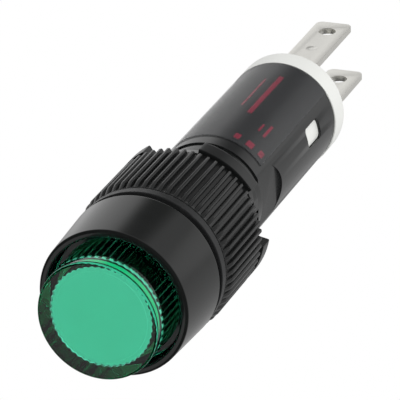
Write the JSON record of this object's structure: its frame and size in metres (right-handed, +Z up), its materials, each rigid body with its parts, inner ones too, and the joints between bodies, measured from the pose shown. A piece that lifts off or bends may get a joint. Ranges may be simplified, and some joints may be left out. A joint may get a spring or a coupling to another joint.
{
  "type": "panel pilot light",
  "caption": "Panel pilot light with a projecting green fluted lens, gloss black bezel, threaded barrel with a ribbed ring nut, black body and two blade terminals.",
  "frame": {"origin": "on the axis, at the rear face of the bezel that seats on the panel's front", "axes": "+Y along the axis towards the terminals, so the lens looks to -Y; +Z up, square to the flat faces of the two blades; +X along the blades' width"},
  "size_m": [0.01, 0.0424, 0.01],
  "materials": {
    "lens": "clear green moulded plastic, smooth outside and fluted inside",
    "seal": "black rubber",
    "diffuser": "frosted white plastic",
    "bezel": "gloss black",
    "white_plastic": "moulded white plastic",
    "lamp": "clear tinted epoxy",
    "tinned": "tinned brass, satin",
    "black_metal": "black lacquered metal, satin",
    "nut_plastic": "moulded black plastic, satin",
    "body_plastic": "moulded black plastic, matt",
    "film": "thin clear film with red marks",
    "board": "green solder mask",
    "resistor": "tan lacquer",
    "rectifier": "black epoxy",
    "solder": "bright solder"
  },
  "bodies": {
    "barrel": {"lens": "lens", "lens_seal": "seal", "diffuser_disc": "diffuser", "bezel_barrel": "bezel", "led_holder": "white_plastic", "led_lamp": "lamp", "led_leads": "tinned", "panel_gasket": "seal", "body_tube": "body_plastic", "label_film": "film", "circuit_board": "board", "series_resistor": "resistor", "resistor_leads": "tinned", "bridge_rectifier": "rectifier", "rectifier_legs": "tinned", "solder_joints": "solder", "terminal_base": "white_plastic", "terminal_upper": "tinned", "terminal_lower": "tinned"},
    "washer": {"lock_washer": "black_metal"},
    "nut": {"lock_nut": "nut_plastic"}
  },
  "joints": [
    {"name": "washer_slide", "type": "slide", "parent": "barrel", "child": "washer", "axis": [0, 1, 0], "range_m": [0, 0.006]},
    {"name": "nut_turn", "type": "hinge", "parent": "washer", "child": "nut", "pos_m": [0, 0, 0], "axis": [0, 1, 0], "range_deg": [0, 2880]}
  ],
  "couplings": [
    {"joint": "nut_turn", "follows": "washer_slide", "rad_per_m": 8377.6}
  ]
}
